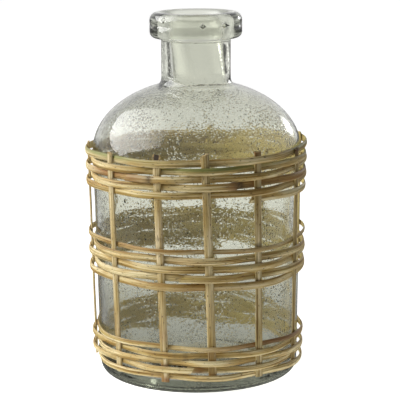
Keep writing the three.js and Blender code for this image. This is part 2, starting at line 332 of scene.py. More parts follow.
def seeded_glass(settings):
    """Soda-lime glass blown by hand. It is clear and smooth, faintly grey-green, with slow waves in
    its surface that bend what is seen through it, deeper inside than out. Lamps shine through it."""
    material, tree = new_material("Blown soda-lime glass")
    place = add_node(tree, "ShaderNodeTexCoord").outputs["Object"]
    rippled = {"Vector": place, "Scale": 1 / settings.wave, "Detail": 3.0, "Roughness": 0.6}
    ripple = add_node(tree, "ShaderNodeTexNoise", rippled)
    # Seeds too small to model stand as dimples, in clouds of the same size
    seed = add_node(tree, "ShaderNodeTexVoronoi", {"Vector": place, "Scale": 1 / (DIMPLE_PITCH * MM)})
    dented = {"Value": seed, "From Max": DIMPLE_REACH, "To Min": 1.0, "To Max": 0.0}
    dimple = add_node(tree, "ShaderNodeMapRange", dented, interpolation_type="SMOOTHSTEP")
    clouded = {"Vector": place, "Scale": 1 / (CLOUD_SIZE * MM), "Detail": 1.0}
    cloud = add_node(tree, "ShaderNodeTexNoise", clouded)
    crowded = {"Value": cloud, "From Min": 0.4, "From Max": 0.6, "To Min": 0.25, "To Max": 1.3}
    crowd = add_node(tree, "ShaderNodeMapRange", crowded)
    dimples = add_node(tree, "ShaderNodeMath", {0: dimple, 1: crowd}, operation="MULTIPLY")
    summed = {0: ripple, 1: RIPPLE_SHARE, 2: dimples}
    relief = add_node(tree, "ShaderNodeMath", summed, operation="MULTIPLY_ADD")
    wave, haze = (
        add_node(tree, "ShaderNodeAttribute", attribute_name=name).outputs["Fac"]
        for name in ("wave", "haze")
    )
    waves = add_node(tree, "ShaderNodeMath", {0: relief, 1: wave}, operation="MULTIPLY")
    bumped = {"Height": waves, "Strength": 1.0, "Distance": settings.wave_depth}
    body = add_node(
        tree,
        "ShaderNodeBsdfPrincipled",
        {
            "Base Color": (*settings.tint, 1.0),
            "Roughness": add_node(tree, "ShaderNodeMath", {0: haze, 1: LEAST_HAZE}, operation="ADD"),
            "IOR": 1.5,
            "Transmission Weight": 1.0,
            "Normal": add_node(tree, "ShaderNodeBump", bumped),
        },
    )
    clear = add_node(tree, "ShaderNodeBsdfTransparent", {"Color": (*settings.tint, 1.0)})
    path = add_node(tree, "ShaderNodeLightPath").outputs["Is Shadow Ray"]
    mix = add_node(tree, "ShaderNodeMixShader", {0: path, 1: body, 2: clear})
    deep = {"Color": (*settings.deep_tint, 1.0), "Density": settings.absorption}
    depth = add_node(tree, "ShaderNodeVolumeAbsorption", deep)
    add_node(tree, "ShaderNodeOutputMaterial", {"Surface": mix, "Volume": depth})
    return material


def cane_place(tree):
    """Where a point of the cane lies: its place on the strand, in the section, and out from the middle."""
    strand, section = (
        add_node(tree, "ShaderNodeAttribute", attribute_name=name).outputs["Vector"]
        for name in ("cane", "section")
    )
    spot = add_node(tree, "ShaderNodeSeparateXYZ", {0: section}).outputs
    away = add_node(tree, "ShaderNodeMath", {0: spot[1]}, operation="ABSOLUTE")
    return strand, spot, away


def cane_material(settings, name, pale, warm):
    """Split rattan with its skin on, dried: pale straw with a satin sheen. Fibres run along it as fine
    streaks over two-tone stripes. It is browner at its cut edges and on its pith side, greens or browns in
    patches and darkens at its nodes."""
    material, tree = new_material(name)
    strand, spot, away = cane_place(tree)
    # Length and width in millimetres. Fibres are drawn coarser than the real 0.2 mm so that they show
    tones = {}
    for label, length, width, detail in (
        ("fibre", 60, 0.6, 3.0),
        ("stripe", 90, 1.7, 1.5),
        ("patch", 34, 5.0, 2.0),
        ("speck", 3.5, 0.8, 2.0),
    ):
        scale = (1 / (length * MM), 1 / (width * MM), 1 / (width * MM))
        stretch = {"Vector": strand, "Location": (0.0, 0.37, 0.21), "Scale": scale}
        stretched = add_node(tree, "ShaderNodeMapping", stretch)
        grain = {"Vector": stretched, "Scale": 1.0, "Detail": detail, "Roughness": 0.62}
        tones[label] = add_node(tree, "ShaderNodeTexNoise", grain)
    upper = {"Value": spot[1], "From Min": 0.2, "From Max": -0.3, "To Max": 0.8}
    tones["upper"] = add_node(tree, "ShaderNodeMapRange", upper)

    colour = WHITE
    for label, low, deep, high, light in (
        ("patch", 0.38, warm, 0.60, pale),
        ("stripe", 0.36, "#c2b282", 0.6, "#ffffff"),
        ("fibre", 0.34, "#a6945e", 0.5, "#ffffff"),
        ("speck", 0.3, "#4a3016", 0.38, "#ffffff"),
    ):
        ramp = add_node(tree, "ShaderNodeValToRGB", {"Fac": tones[label]})
        set_stops(ramp, [(low, linear(deep)), (high, linear(light))])
        mixed = {0: 1.0, 6: colour, 7: ramp}
        mix = add_node(tree, "ShaderNodeMix", mixed, data_type="RGBA", blend_type="MULTIPLY")
        colour = mix.outputs[2]

    edged = {"Value": away, "From Min": 0.42, "From Max": 0.5, "To Max": 0.4}
    edge = add_node(tree, "ShaderNodeMapRange", edged)
    pithy = {"Value": spot[0], "From Min": -0.25, "From Max": -0.48}
    inside = add_node(tree, "ShaderNodeMapRange", pithy)
    bare = add_node(tree, "ShaderNodeMath", {0: edge, 1: inside}, operation="MAXIMUM")
    covers = [(bare, settings.pith)]
    for mark, tone in zip(MARK_KINDS, ("upper", "fibre", "fibre")):
        mask = add_node(tree, "ShaderNodeAttribute", attribute_name=mark).outputs["Fac"]
        broken = add_node(tree, "ShaderNodeMath", {0: mask, 1: tones[tone]}, operation="MULTIPLY")
        gained = {0: broken, 1: MARK_GAIN}
        share = add_node(tree, "ShaderNodeMath", gained, operation="MULTIPLY", use_clamp=True)
        covers.append((share, getattr(settings, mark)))
    for share, shade in covers:
        mixed = {0: share, 6: colour, 7: (*shade, 1.0)}
        colour = add_node(tree, "ShaderNodeMix", mixed, data_type="RGBA").outputs[2]

    gloss = add_node(tree, "ShaderNodeMapRange", {"Value": tones["fibre"], "To Min": 0.68, "To Max": 0.42})
    # The skin is crowned more than the flat of the cane, and its fibres stand proud
    relief = away
    for operation, other in (("POWER", 2.0), ("MULTIPLY", -7.0), ("ADD", tones["fibre"])):
        relief = add_node(tree, "ShaderNodeMath", {0: relief, 1: other}, operation=operation)
    bumped = {"Height": relief, "Strength": 1.0, "Distance": FIBRE_HEIGHT * MM}
    bump = add_node(tree, "ShaderNodeBump", bumped)
    skin = {"Base Color": colour, "Roughness": gloss, "Normal": bump, "IOR": 1.45}
    body = add_node(tree, "ShaderNodeBsdfPrincipled", skin)
    add_node(tree, "ShaderNodeOutputMaterial", {"Surface": body})
    return material


def cut_end_material(settings):
    """The cut end of rattan: dull pith, with the open pores of its fibres as dark dots, and
    hollow and dark in the middle where it has shrunk."""
    material, tree = new_material("Rattan pith, cut across")
    strand, _, away = cane_place(tree)
    pores = add_node(tree, "ShaderNodeTexVoronoi", {"Vector": strand, "Scale": 1 / (PORE_PITCH * MM)})
    ramp = add_node(tree, "ShaderNodeValToRGB", {"Fac": pores})
    set_stops(ramp, [(0.15, linear("#4a3a20")), (0.45, linear("#b79c68"))])
    shrunk = {"Value": away, "From Min": 0.26, "From Max": 0.4, "To Min": 1.0, "To Max": 0.0}
    hollow = add_node(tree, "ShaderNodeMapRange", shrunk)
    mask = add_node(tree, "ShaderNodeAttribute", attribute_name="dark").outputs["Fac"]
    share = add_node(tree, "ShaderNodeMath", {0: mask, 1: hollow}, operation="MULTIPLY")
    mixed = {0: share, 6: ramp, 7: (*settings.dark, 1.0)}
    colour = add_node(tree, "ShaderNodeMix", mixed, data_type="RGBA").outputs[2]
    body = add_node(tree, "ShaderNodeBsdfPrincipled", {"Base Color": colour, "Roughness": 0.85})
    add_node(tree, "ShaderNodeOutputMaterial", {"Surface": body})
    return material


def arc(centre, level, across, rise, start, stop, steps):
    """Points of an elliptical arc in the plane of radius and height, angles in degrees."""
    angles = np.radians(np.linspace(start, stop, steps + 1))
    return [(centre + across * math.cos(a), level + rise * math.sin(a)) for a in angles]


def corner(start, through, stop, steps=10):
    """A rounded corner between two points, drawn towards a third."""
    points = []
    for t in np.linspace(0, 1, steps + 1):
        shares = ((1 - t) ** 2, 2 * t * (1 - t), t * t)
        points.append(tuple(sum(s * p[i] for s, p in zip(shares, (start, through, stop))) for i in (0, 1)))
    return points


def straight(start, stop, steps):
    """Points between two ends, without the ends."""
    return [
        (start[0] + (stop[0] - start[0]) * i / steps, start[1] + (stop[1] - start[1]) * i / steps)
        for i in range(1, steps)
    ]


def shoulder_angle(across, radius):
    return math.degrees(math.acos(radius / across))


def bottle_profile(settings):
    """The glass in section as (radius, height, wall, inside, wave), under the foot, up the outside, over
    the lip and down the inside. The wall is the glass that seeds may lie in, and 0 where there are none."""
    height = settings.height / MM
    wall = settings.wall / MM
    bore = NECK_RADIUS - NECK_WALL
    foot_outer = BASE_RADIUS - HEEL_RADIUS
    foot_inner = foot_outer - FOOT_WIDTH
    lip_under = height - LIP_HEIGHT
    fold = lip_under + FOLD_RISE
    rim_outer = LIP_RADIUS - LIP_TOP_ROUND
    rim_inner = rim_outer - RIM_FLAT
    under_centre = (LIP_RADIUS - LIP_UNDER_ROUND, lip_under + LIP_UNDER_ROUND)
    inner_body = BODY_RADIUS - wall
    inner_base = BASE_RADIUS - wall
    inner_rise = SHOULDER_RISE - wall

    heel = arc(foot_outer, HEEL_RADIUS, HEEL_RADIUS, HEEL_RADIUS, -90, 0, 12)
    shoulder_end = shoulder_angle(BODY_RADIUS, NECK_RADIUS + NECK_FILLET)
    shoulder = arc(0, SHOULDER_START, BODY_RADIUS, SHOULDER_RISE, 0, shoulder_end, 30)
    neck_foot = SHOULDER_START + SHOULDER_RISE * math.sqrt(1 - (NECK_RADIUS / BODY_RADIUS) ** 2)
    neck_fillet = corner(shoulder[-1], (NECK_RADIUS, neck_foot), (NECK_RADIUS, neck_foot + NECK_FILLET))
    cove = arc(NECK_RADIUS + LIP_COVE, lip_under - LIP_COVE, LIP_COVE, LIP_COVE, 180, 90, 6)
    fold_steps = ((0, -FOLD_HALF), (FOLD_DEPTH, 0), (0, FOLD_HALF))
    fold_line = [(LIP_RADIUS - depth, fold + rise) for depth, rise in fold_steps]
    lip_top = arc(rim_outer, height - LIP_TOP_ROUND, LIP_TOP_ROUND, LIP_TOP_ROUND, 0, 90, 10)
    mouth = arc(rim_inner, height - MOUTH_DEPTH, rim_inner - bore, MOUTH_DEPTH, 90, 180, 10)
    inner_start = shoulder_angle(inner_body, bore + BORE_FILLET)
    inner_shoulder = arc(0, SHOULDER_START, inner_body, inner_rise, inner_start, 0, 30)
    bore_foot = SHOULDER_START + inner_rise * math.sqrt(1 - (bore / inner_body) ** 2)
    bore_corner = corner((bore, bore_foot + BORE_FILLET), (bore, bore_foot), inner_shoulder[0], 12)
    floor_edge = inner_base - FLOOR_CORNER
    floor_level = FLOOR_THICKNESS + FLOOR_CORNER
    kick_top = FLOOR_THICKNESS + KICK_RISE
    kick = corner((FLOOR_RING, FLOOR_THICKNESS), (FLOOR_RING * KICK_SHARE, kick_top), (0, kick_top), 14)

    runs = [
        (arc(0, 0, foot_inner, PUNT_RISE, 90, 0, 14), 0, False, OUTER_WAVES),
        (heel, HEEL_WALL, False, OUTER_WAVES),
        (straight(heel[-1], shoulder[0], 36), wall, False, OUTER_WAVES),
        (shoulder, wall, False, OUTER_WAVES),
        (neck_fillet[1:], 0, False, OUTER_WAVES),
        (straight(neck_fillet[-1], cove[0], 12), 0, False, OUTER_WAVES),
        (cove, 0, False, OUTER_WAVES),
        (arc(*under_centre, LIP_UNDER_ROUND, LIP_UNDER_ROUND, -90, 0, 8), 0, False, LIP_WAVES),
        (fold_line, 0, False, LIP_WAVES),
        (lip_top, 0, False, LIP_WAVES),
        (mouth, 0, True, MOUTH_WAVES),
        (straight((bore, height - MOUTH_DEPTH), (bore, lip_under), 6), 0, True, MOUTH_WAVES),
        (straight((bore, lip_under), bore_corner[0], 14), 0, True, BORE_WAVES),
        (bore_corner, 0, True, INNER_WAVES),
        (inner_shoulder[1:], 0, True, INNER_WAVES),
        (straight(inner_shoulder[-1], (inner_base, floor_level), 34), 0, True, INNER_WAVES),
        (arc(floor_edge, floor_level, FLOOR_CORNER, FLOOR_CORNER, 0, -90, 10), 0, True, INNER_WAVES),
        (straight((floor_edge, FLOOR_THICKNESS), kick[0], 6), 0, True, OUTER_WAVES),
        (kick, 0, True, OUTER_WAVES),
    ]
    return [(r, z, *traits) for points, *traits in runs for r, z in points]


def on_circle(angle, radius, height):
    return Vector((radius * math.sin(angle), -radius * math.cos(angle), height))


def smoothstep(value, low, high):
    share = min(1.0, max(0.0, (value - low) / (high - low)))
    return share * share * (3 - 2 * share)


def blown(point, inside):
    """How far the wall stands in or out at a point, because the glass was blown by hand."""
    deep, length, fine = BLOWN_INSIDE if inside else BLOWN_OUTSIDE
    drift = noise.noise(point / length + Vector((3.1, 7.7, 1.3)))
    ripple = noise.noise(point / RIPPLE_LENGTH + Vector((9.2, 0.4, 5.5)))
    return deep * drift + fine * ripple


def ring_faces(rings):
    """Faces from each ring of vertices to the next. A ring of one vertex is a tip."""
    faces = []
    for low, high in zip(rings, rings[1:]):
        count = max(len(low), len(high))
        for j in range(count):
            k = (j + 1) % count
            corners = (low[j % len(low)], low[k % len(low)], high[k % len(high)], high[j % len(high)])
            faces.append(tuple(dict.fromkeys(corners)))
    return faces


def turned_glass(settings):
    """The bottle's vertices and faces, and at each vertex the wall, the depth of waves and the haze. The
    body is a little flat on the right, and the mouth is hazy inside."""
    points, rings = [], []
    traits = {"wall": [], "wave": [], "haze": []}
    for radius, height, wall, inside, wave in bottle_profile(settings):
        count = 1 if radius < 1e-6 else GLASS_SIDES
        rings.append(range(len(points), len(points) + count))
        for j in range(count):
            direction = on_circle(TURN * j / GLASS_SIDES, 1.0, 0.0)
            spot = direction * radius + Vector((0, 0, height))
            settled = min(1.0, height / SETTLED, radius / SETTLED)
            spot += direction * blown(spot, inside) * settled
            flat = smoothstep(height, *FLAT_START) - smoothstep(height, *FLAT_END)
            spot -= direction * FLAT_SIDE * flat * max(0.0, direction.x) ** FLAT_POWER
            if inside:
                up = smoothstep(height, *NECK_SPAN)
                lean = smoothstep(height, *LEAN_SPAN) * (1 - up) * BORE_LEAN
                narrows = BORE_NARROWS[0] + (BORE_NARROWS[1] - BORE_NARROWS[0]) * up
                spot += Vector((lean, 0, 0)) - direction * narrows * smoothstep(height, *LEAN_SPAN)
            points.append(spot * MM)
            folded = 0.0 if inside else 1 - smoothstep((spot - SWIRL).length, *SWIRL_SPAN)
            traits["wall"].append(wall * MM)
            traits["wave"].append(wave + folded * SWIRL_WAVES)
            traits["haze"].append(HAZE * smoothstep(height, *HAZE_SPAN) if inside else 0.0)
    faces = ring_faces(rings)
    for leaf in air_leaves(settings):
        first = len(points)
        rings = [range(i, i + AIR_SIDES) for i in range(first, first + len(leaf), AIR_SIDES)]
        points += leaf
        faces += [*ring_faces(rings), tuple(reversed(rings[0])), tuple(rings[-1])]
        for label, value in (("wall", 0.0), ("wave", INNER_WAVES), ("haze", 0.0)):
            traits[label] += [value] * len(leaf)
    return points, faces, traits


def air_leaves(settings):
    """Vertices of leaf-shaped pockets of air in the fold of the lip, in rings that face into the air."""
    fold = settings.height / MM - LIP_HEIGHT + FOLD_RISE
    leaves = []
    for turn, span, rise in AIR_LEAVES:
        points = []
        for i in range(AIR_STEPS + 1):
            share = i / AIR_STEPS
            angle = math.radians(turn + span * (share - 0.5))
            swell = math.sin(math.pi * (0.05 + 0.9 * share)) * (1 + 0.4 * math.sin(9 * share + turn))
            for j in range(AIR_SIDES):
                around = TURN * j / AIR_SIDES
                radius = AIR_RADIUS + AIR_DEPTH * swell * math.cos(around)
                height = fold + rise + AIR_HEIGHT * swell * math.sin(around)
                points.append(on_circle(angle, radius, height) * MM)
        leaves.append(points)
    return leaves


def new_tree(name, sockets):
    """A node tree that changes a piece's mesh, and the sockets of what it is given."""
    tree = bpy.data.node_groups.new(name, "GeometryNodeTree")
    for label, kind in {"Geometry": "Geometry", **sockets}.items():
        tree.interface.new_socket(name=label, in_out="INPUT", socket_type="NodeSocket" + kind)
    tree.interface.new_socket(name="Geometry", in_out="OUTPUT", socket_type="NodeSocketGeometry")
    return tree, add_node(tree, "NodeGroupInput").outputs


def seeds_tree():
    """Round bubbles of air, the seeds, spread in clouds through a wall of glass. Their faces point into the
    air."""
    sockets = {
        "Seeds per square metre": "Float",
        "Cloud size": "Float",
        "Least radius": "Float",
        "Growth": "Float",
        "Least depth": "Float",
        "Segments": "Int",
        "Rings": "Int",
        "Seed": "Int",
        "Material": "Material",
    }
    tree, given = new_tree("Seeds in glass", sockets)
    wall = add_node(tree, "GeometryNodeInputNamedAttribute", {"Name": "wall"}, data_type="FLOAT")
    limits = {"A": wall, "B": THICK_COVER * MM}
    glassy = add_node(tree, "FunctionNodeCompare", limits, data_type="FLOAT", operation="GREATER_THAN")
    fine = add_node(tree, "ShaderNodeMath", {0: 1.0, 1: given["Cloud size"]}, operation="DIVIDE")
    cloud = add_node(tree, "ShaderNodeTexNoise", {"Scale": fine, "Detail": 1.0})
    crowded = {"Value": cloud, "From Min": 0.38, "From Max": 0.62, "To Min": 0.3, "To Max": 1.7}
    density = add_node(tree, "ShaderNodeMapRange", crowded)
    thick = add_node(tree, "ShaderNodeMath", {0: wall, 1: THICK_COVER * MM}, operation="DIVIDE")
    for other in (thick, given["Seeds per square metre"]):
        density = add_node(tree, "ShaderNodeMath", {0: density, 1: other}, operation="MULTIPLY")
    scatter = {"Mesh": given["Geometry"], "Selection": glassy, "Density": density, "Seed": given["Seed"]}
    spread = add_node(tree, "GeometryNodeDistributePointsOnFaces", scatter)

    deepest = add_node(tree, "ShaderNodeMath", {0: 1.0, 1: given["Least depth"]}, operation="SUBTRACT")
    depths = {2: given["Least depth"], 3: deepest, "Seed": 3}
    depth = add_node(tree, "FunctionNodeRandomValue", depths, data_type="FLOAT").outputs[1]
    inward = wall
    for operation, other in (("MULTIPLY", depth), ("MAXIMUM", LEAST_COVER * MM), ("MULTIPLY", -1.0)):
        inward = add_node(tree, "ShaderNodeMath", {0: inward, 1: other}, operation=operation)
    away = {0: spread.outputs["Normal"], "Scale": inward}
    shift = add_node(tree, "ShaderNodeVectorMath", away, operation="SCALE")
    sunk = add_node(tree, "GeometryNodeSetPosition", {"Geometry": spread, "Offset": shift})

    ball = {"Radius": given["Least radius"], "Segments": given["Segments"], "Rings": given["Rings"]}
    bubble = add_node(tree, "GeometryNodeMeshUVSphere", ball)
    hollow = add_node(tree, "GeometryNodeFlipFaces", {"Mesh": bubble})
    smooth = add_node(tree, "GeometryNodeSetShadeSmooth", {"Geometry": hollow})
    chance = add_node(tree, "FunctionNodeRandomValue", {2: 0.0, 3: 1.0, "Seed": 8}, data_type="FLOAT")
    rare = add_node(tree, "ShaderNodeMath", {0: chance.outputs[1], 1: 3.0}, operation="POWER")
    growth = {0: rare, 1: given["Growth"], 2: 1.0}
    grown = add_node(tree, "ShaderNodeMath", growth, operation="MULTIPLY_ADD")
    stretch = {0: (0.8, 0.9, 0.6), 1: (1.1, 1.5, 0.8), "Seed": 5}
    drawn = add_node(tree, "FunctionNodeRandomValue", stretch, data_type="FLOAT_VECTOR")
    size = add_node(tree, "ShaderNodeVectorMath", {0: drawn, "Scale": grown}, operation="SCALE")
    copies = {"Points": sunk, "Instance": smooth, "Rotation": spread.outputs["Rotation"], "Scale": size}
    placed = add_node(tree, "GeometryNodeInstanceOnPoints", copies)
    real = add_node(tree, "GeometryNodeRealizeInstances", {"Geometry": placed})
    dressed = add_node(tree, "GeometryNodeSetMaterial", {"Geometry": real, "Material": given["Material"]})
    joined = add_node(tree, "GeometryNodeJoinGeometry", {0: dressed})
    tree.links.new(given["Geometry"], joined.inputs[0])
    add_node(tree, "NodeGroupOutput", {"Geometry": joined})
    return tree


def cane_tree():
    """Sweeps split cane along a path: flat towards the glass and rounded outwards, with its ends cut. A
    slant is how much further one side is cut back than the other, a bevel the outer face than the inner."""
    sockets = {
        "Width": "Float",
        "Thickness": "Float",
        "Section points": "Int",
        "Start slant": "Float",
        "End slant": "Float",
        "End bevel": "Float",
        "Skin": "Material",
        "Cut end": "Material",
    }
    tree, given = new_tree("Cane along a path", sockets)
    vectors = {name: "FLOAT_VECTOR" for name in ("outward", "forward", "section")}
    numbers = {name: "FLOAT" for name in ("scale", "along", "from_start", "to_end")}
    known = {
        name: add_node(tree, "GeometryNodeInputNamedAttribute", {"Name": name}, data_type=kind)
        for name, kind in (vectors | numbers).items()
    }
    kept = {"data_type": "FLOAT_VECTOR", "domain": "POINT"}

    path = add_node(tree, "GeometryNodeMeshToCurve", {"Mesh": given["Geometry"]})
    facing = {"Curve": path, "Normal": known["outward"]}
    turned = add_node(tree, "GeometryNodeSetCurveNormal", facing, mode="FREE")
    circle = {"Resolution": given["Section points"], "Radius": 1.0}
    ring = add_node(tree, "GeometryNodeCurvePrimitiveCircle", circle)
    where = add_node(tree, "GeometryNodeInputPosition")
    spot = add_node(tree, "ShaderNodeSeparateXYZ", {0: where}).outputs
    flat = {"Value": spot[0], "From Min": -0.5, "From Max": 1.0, "To Min": -0.5, "To Max": 0.5}
    level = add_node(tree, "ShaderNodeMapRange", flat)
    half = add_node(tree, "ShaderNodeMath", {0: spot[1], 1: 0.5}, operation="MULTIPLY")
    unit = add_node(tree, "ShaderNodeCombineXYZ", {0: level, 1: half})
    sizes = add_node(tree, "ShaderNodeCombineXYZ", {0: given["Thickness"], 1: given["Width"]})
    section = {"Geometry": ring, "Name": "section", "Value": unit}
    tagged = add_node(tree, "GeometryNodeStoreNamedAttribute", section, **kept)
    full = add_node(tree, "ShaderNodeVectorMath", {0: known["section"], 1: sizes}, operation="MULTIPLY")
    shaped = add_node(tree, "GeometryNodeSetPosition", {"Geometry": tagged, "Position": full})
    sweep = {"Curve": turned, "Profile Curve": shaped, "Scale": known["scale"], "Fill Caps": True}
    cut = add_node(tree, "GeometryNodeCurveToMesh", sweep)

    from_edge = {0: known["section"], 1: (0.5, 0.5, 0.0)}
    side = add_node(tree, "ShaderNodeVectorMath", from_edge, operation="ADD")
    for slant, bevel, left, way in (
        (given["Start slant"], 0.0, known["from_start"], 1.0),
        (given["End slant"], given["End bevel"], known["to_end"], -1.0),
    ):
        slopes = add_node(tree, "ShaderNodeCombineXYZ", {0: bevel, 1: slant})
        reach = add_node(tree, "ShaderNodeVectorMath", {0: side, 1: slopes}, operation="DOT_PRODUCT")
        least = add_node(tree, "ShaderNodeMath", {0: slant, 1: 0.0}, operation="MINIMUM")
        back = reach.outputs["Value"]
        steps = (("SUBTRACT", least), ("SUBTRACT", left), ("MAXIMUM", 0.0), ("MULTIPLY", way))
        for operation, other in steps:
            back = add_node(tree, "ShaderNodeMath", {0: back, 1: other}, operation=operation)
        moved = {0: known["forward"], "Scale": back}
        shift = add_node(tree, "ShaderNodeVectorMath", moved, operation="SCALE")
        cut = add_node(tree, "GeometryNodeSetPosition", {"Geometry": cut, "Offset": shift})
    across = add_node(tree, "ShaderNodeSeparateXYZ", {0: full}).outputs
    grain = add_node(tree, "ShaderNodeCombineXYZ", {0: known["along"], 1: across[1], 2: across[0]})
    strand = {"Geometry": cut, "Name": "cane", "Value": grain}
    grained = add_node(tree, "GeometryNodeStoreNamedAttribute", strand, **kept)

    many = {2: add_node(tree, "GeometryNodeInputMeshFaceNeighbors"), 3: 4}
    is_end = add_node(tree, "FunctionNodeCompare", many, data_type="INT", operation="GREATER_THAN")
    is_side = add_node(tree, "FunctionNodeBooleanMath", {0: is_end}, operation="NOT")
    smooth = add_node(tree, "GeometryNodeSetShadeSmooth", {"Geometry": grained, "Selection": is_side})
    real = add_node(tree, "GeometryNodeRealizeInstances", {"Geometry": smooth})
    skinned = add_node(tree, "GeometryNodeSetMaterial", {"Geometry": real, "Material": given["Skin"]})
    ends = {"Geometry": skinned, "Selection": is_end, "Material": given["Cut end"]}
    ended = add_node(tree, "GeometryNodeSetMaterial", ends)
    welded = add_node(tree, "GeometryNodeMergeByDistance", {"Geometry": ended, "Distance": WELD * MM})
    add_node(tree, "NodeGroupOutput", {"Geometry": welded})
    return tree


def made_plain(piece, tree, values):
    """Runs a node tree on a piece and keeps the result as its plain mesh."""
    modifier = piece.modifiers.new(tree.name, "NODES")
    modifier.node_group = tree
    for socket in tree.interface.items_tree:
        if socket.name in values:
            modifier[socket.identifier] = values[socket.name]
    depsgraph = bpy.context.evaluated_depsgraph_get()
    mesh = bpy.data.meshes.new_from_object(
        piece.evaluated_get(depsgraph), preserve_all_data_layers=True, depsgraph=depsgraph
    )
    piece.modifiers.clear()
    rough = piece.data
    piece.data = mesh
    mesh.name = piece.name
    bpy.data.meshes.remove(rough)


def new_piece(name, data):
    piece = bpy.data.objects.new(name, data)
    bpy.context.scene.collection.objects.link(piece)
    return piece


def settle(piece, node):
    """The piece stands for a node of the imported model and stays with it."""
    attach(piece, "root")
    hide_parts(node)


def store(mesh, traits):
    """Keeps a number at each vertex of a mesh, under each label."""
    for label, values in traits.items():
        layer = mesh.attributes.new(label, "FLOAT", "POINT")
        layer.data.foreach_set("value", values)


def wall_radius(height):
    """Outer radius of the glass at a height, in millimetres."""
    if height > SHOULDER_START:
        share = min(1.0, (height - SHOULDER_START) / SHOULDER_RISE)
        return BODY_RADIUS * math.sqrt(1 - share * share)
    share = (height - HEEL_RADIUS) / (SHOULDER_START - HEEL_RADIUS)
    return BASE_RADIUS + (BODY_RADIUS - BASE_RADIUS) * max(0.0, share)


def stake_list():
    first, last = STAKES[0], STAKES[-1]
    back = []
    for i in range(BACK_STAKES):
        share = (i + 1) / (BACK_STAKES + 1)
        trim = BACK_TRIM if i % 2 else -BACK_TRIM
        top = last[0] + (first[0] + 360 - last[0]) * share
        foot = last[1] + (first[1] + 360 - last[1]) * share
        back.append((top, foot, trim, -trim, trim, abs(trim)))
    return STAKES + back


ALL_STAKES = stake_list()
STAKE_COUNT = len(ALL_STAKES)


def stake_angle(number, height):
    """Angle of a stake at a height. Numbers past the last stake go round again, a turn further on."""
    turns, index = divmod(number, STAKE_COUNT)
    top, foot = ALL_STAKES[index][:2]
    share = (height - STAKE_FOOT) / (STAKE_TOP - STAKE_FOOT)
    return math.radians(foot + (top - foot) * share) + turns * TURN


class Sleeve:
    """The cane's own sizes, in millimetres, and how far from the axis it lies."""

    def __init__(self, settings):
        self.stake_width = settings.stake_width / MM
        self.stake_thickness = settings.stake_thickness / MM
        self.weaver_thickness = settings.weaver_thickness / MM

    def stake_inner(self, height):
        wall = max(wall_radius(height), wall_radius(height - TOP_BAND_WIDTH))
        return wall + self.weaver_thickness + 2 * CLEARANCE

    def stake_outer(self, height):
        return self.stake_inner(height) + self.stake_thickness


class Strand:
    """A woven strand. Its place is counted in stakes from the front left one, so 12.5 is half way from
    the second stake to the third, one turn up."""

    def __init__(self, sleeve, band, start, end, splice_start=False, splice_end=False, tapers=False):
        self.sleeve = sleeve
        self.level, self.pitch, self.width, self.slant, self.lift, self.behind = BANDS[band]
        self.splice_start = splice_start
        self.splice_end = splice_end
        self.tapers = tapers
        self.start = start + 0.5 - SPLICE_LAP if splice_start else start - WEAVER_TAIL
        self.end = end + 0.5 + SPLICE_LAP if splice_end else end + WEAVER_TAIL

    def height_at(self, angle):
        """A strand climbs by its pitch in a turn, hangs lower to the right and lies higher at the back."""
        climb = self.pitch * angle / TURN
        to_back = (1 - math.cos(angle)) / 2
        return self.level + climb - self.slant * math.sin(angle) + self.lift * to_back**2

    def crossing_angle(self, number):
        return stake_angle(number, self.height_at(stake_angle(number, self.level)))

    def side_at(self, number):
        return BEHIND if (number - self.behind) % 2 == 0 else FRONT

    def level_share(self, number):
        gap = self.crossing_angle(number + 1) - self.crossing_angle(number)
        return (self.sleeve.stake_width / 2 + WEAVER_LAP) / (wall_radius(self.level) * gap)

    def angle_at(self, place):
        number = math.floor(place)
        start = self.crossing_angle(number)
        return start + (self.crossing_angle(number + 1) - start) * (place - number)

    def radius_for(self, side, height):
        backing = wall_radius if side == BEHIND else self.sleeve.stake_outer
        clear = max(backing(height), backing(height - self.width / 2))
        return clear + CLEARANCE + self.sleeve.weaver_thickness / 2

    def spliced_radius(self, side, height):
        middle = (self.radius_for(BEHIND, height) + self.radius_for(FRONT, height)) / 2
        return middle + side * (self.sleeve.weaver_thickness + SPLICE_CLEARANCE) / 2

    def radius_at(self, place):
        number = math.floor(place)
        height = self.height_at(self.angle_at(place))
        flat = self.level_share(number)
        share = min(1.0, max(0.0, (place - number - flat) / (1 - 2 * flat)))
        ease = (1 - math.cos(math.pi * share)) / 2
        if self.splice_start and number == math.floor(self.start):
            here = self.spliced_radius(self.side_at(number + 1), height)
        else:
            here = self.radius_for(self.side_at(number), height)
        if self.splice_end and number == math.floor(self.end):
            there = self.spliced_radius(self.side_at(number), height)
        else:
            there = self.radius_for(self.side_at(number + 1), height)
        return here + (there - here) * ease

    def width_at(self, place):
        if not self.tapers:
            return self.width
        left = (self.end - place) / STAKE_COUNT
        return TAPERED_WIDTH + (self.width - TAPERED_WIDTH) * smoothstep(left, *TAPER_TURNS)


def strand_list(sleeve):
    return {
        "top_weaver_lower": Strand(sleeve, "top", 4, 25, splice_end=True),
        "top_weaver_middle": Strand(sleeve, "top", 25, 34, splice_start=True, splice_end=True),
        "top_weaver_upper": Strand(sleeve, "top", 34, 62, splice_start=True),
        "middle_weaver_lower": Strand(sleeve, "middle", -3, 13, splice_end=True),
        "middle_weaver_upper": Strand(sleeve, "middle", 13, 51, splice_start=True, tapers=True),
        "bottom_weaver_lower": Strand(sleeve, "bottom", -2, 13, splice_end=True),
        "bottom_weaver_upper": Strand(sleeve, "bottom", 13, 52, splice_start=True, tapers=True),
    }


def marked(marks, kind, place):
    """How strongly a kind of mark shows at a place along the cane."""
    total = 0.0
    for middle, half, strength in marks.get(kind, []):
        total += strength * math.exp(-(((place - middle) / half) ** 2))
    return min(1.0, total)


